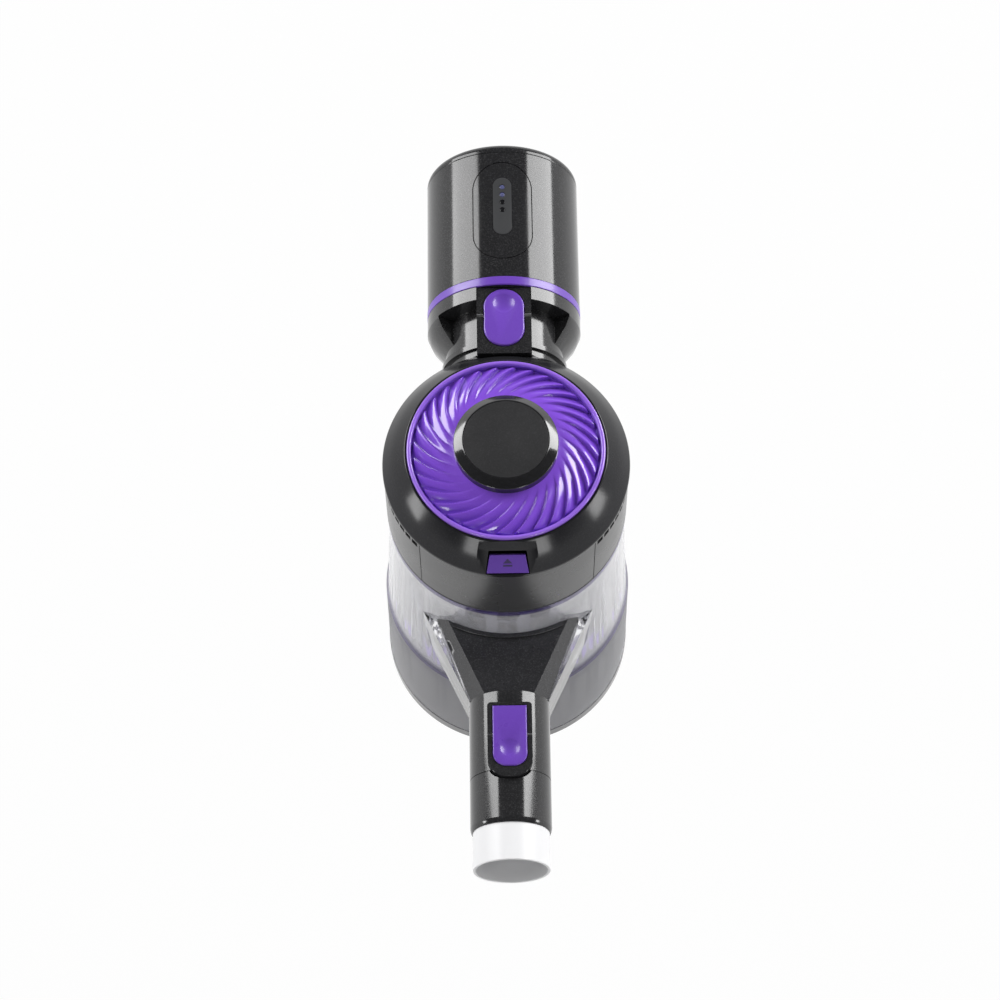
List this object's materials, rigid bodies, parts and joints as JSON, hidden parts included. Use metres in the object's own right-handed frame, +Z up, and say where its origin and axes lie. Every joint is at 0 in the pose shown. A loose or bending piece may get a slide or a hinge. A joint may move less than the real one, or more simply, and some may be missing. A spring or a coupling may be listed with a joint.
{
  "type": "cordless stick vacuum",
  "caption": "Hand unit of a cordless stick vacuum with a clear dust bin, a motor under a purple swirl cover, a plug-in battery, a trigger grip and a socket that holds the top of the wand.",
  "frame": {"origin": "centre of the bin lid's underside, which the unit stands on", "axes": "+Z up along the bin's axis, -Y along the wand, +Y along the battery, +X to the right seen from the wand's end"},
  "size_m": [0.12, 0.3272, 0.2205],
  "materials": {
    "black_plastic": "gloss black with a fine metallic look",
    "cap_plastic": "gloss anthracite",
    "hub_plastic": "gloss black",
    "purple_plastic": "satin purple with a metallic look",
    "clear_plastic": "clear, slightly smoky",
    "dark_plastic": "fine matte",
    "duct_plastic": "matte top panel",
    "grip_plastic": "fine grain",
    "battery_plastic": "gloss anthracite",
    "panel_plastic": "satin",
    "window_plastic": "satin grey",
    "light_plastic": "clear lenses",
    "impeller_plastic": "plain",
    "seal_rubber": "plain",
    "felt": "pleated felt",
    "steel": "turned",
    "filter_metal": "perforated",
    "motor_metal": "drawn",
    "motor_iron": "stacked sheet",
    "terminal_brass": "plated",
    "board": "solder mask",
    "cell": "sleeved",
    "white_tube": "satin white"
  },
  "bodies": {
    "main": {"motor_housing": "black_plastic", "top_cap": "cap_plastic", "swirl_cover": "purple_plastic", "hub_cap": "hub_plastic", "post_filter": "felt", "bin_seal": "seal_rubber", "motor_gasket": "seal_rubber", "motor_can": "motor_metal", "motor_bearings": "steel", "motor_stator": "motor_iron", "filter_shroud": "filter_metal", "pre_filter": "felt", "filter_skirt": "dark_plastic", "cyclone_cone": "purple_plastic", "dock_shell": "black_plastic", "dock_block": "black_plastic", "battery_button_pin": "steel", "battery_button_spring": "steel", "dock_terminals": "terminal_brass", "grip_left": "grip_plastic", "grip_right": "grip_plastic", "grip_screws": "steel", "trigger_switch": "dark_plastic", "control_board": "board"},
    "rotor": {"motor_shaft": "steel", "rotor_magnet": "motor_iron", "impeller": "impeller_plastic"},
    "trigger": {"trigger": "purple_plastic"},
    "battery_button": {"battery_button": "purple_plastic"},
    "battery": {"battery_shell": "battery_plastic", "battery_plug": "dark_plastic", "battery_ring": "purple_plastic", "battery_end_cap": "battery_plastic", "battery_panel": "panel_plastic", "indicator_window": "window_plastic", "indicator_lights": "light_plastic", "battery_board": "board", "battery_cells": "cell", "cell_holder_front": "dark_plastic", "cell_holder_rear": "dark_plastic", "battery_terminals": "terminal_brass"},
    "bin_button": {"bin_button": "purple_plastic"},
    "bin": {"bin_cup": "clear_plastic", "inlet_frame": "clear_plastic", "inlet_duct": "duct_plastic", "inlet_socket": "black_plastic", "lid_hinge_pin": "steel", "latch_pin": "steel", "wand_button_pin": "steel", "wand_button_spring": "steel"},
    "lid": {"bin_lid": "dark_plastic", "lid_seal": "seal_rubber"},
    "lid_latch": {"lid_latch": "purple_plastic"},
    "wand_button": {"wand_button": "purple_plastic"},
    "wand": {"wand_collar": "black_plastic", "wand_tube": "white_tube"}
  },
  "joints": [
    {"name": "motor_spin", "type": "hinge", "parent": "main", "child": "rotor", "pos_m": [0, 0, 0.18], "axis": [0, 0, 1], "continuous": true},
    {"name": "trigger_press", "type": "slide", "parent": "main", "child": "trigger", "axis": [0, 1, 0], "range_m": [0, 0.004], "stiffness_N_per_m": 600, "springref_m": -0.003},
    {"name": "battery_button_rock", "type": "hinge", "parent": "main", "child": "battery_button", "pos_m": [0, 0.0707, 0.2053], "axis": [-1, 0, 0], "range_deg": [0, 6], "stiffness_Nm_per_rad": 0.3, "springref_deg": -2.86, "deforming": ["battery_button_spring"]},
    {"name": "battery_pull", "type": "slide", "parent": "main", "child": "battery", "axis": [0, 1, 0], "range_m": [0, 0.09]},
    {"name": "bin_button_press", "type": "slide", "parent": "main", "child": "bin_button", "axis": [0, 1, 0], "range_m": [0, 0.0022], "stiffness_N_per_m": 800, "springref_m": -0.003},
    {"name": "bin_drop", "type": "slide", "parent": "main", "child": "bin", "axis": [0, 0, -1], "range_m": [0, 0.12]},
    {"name": "lid_swing", "type": "hinge", "parent": "bin", "child": "lid", "pos_m": [0, 0.0642, 0.005], "axis": [1, 0, 0], "range_deg": [0, 95]},
    {"name": "lid_latch_rock", "type": "hinge", "parent": "bin", "child": "lid_latch", "pos_m": [0, -0.065, 0.024], "axis": [-1, 0, 0], "range_deg": [0, 10], "stiffness_Nm_per_rad": 0.3, "springref_deg": -2.86},
    {"name": "wand_button_rock", "type": "hinge", "parent": "bin", "child": "wand_button", "pos_m": [0, -0.107, 0.1345], "axis": [1, 0, 0], "range_deg": [0, 6], "stiffness_Nm_per_rad": 0.3, "springref_deg": -2.86, "deforming": ["wand_button_spring"]},
    {"name": "wand_pull", "type": "slide", "parent": "bin", "child": "wand", "axis": [0, -1, 0], "range_m": [0, 0.06]}
  ]
}
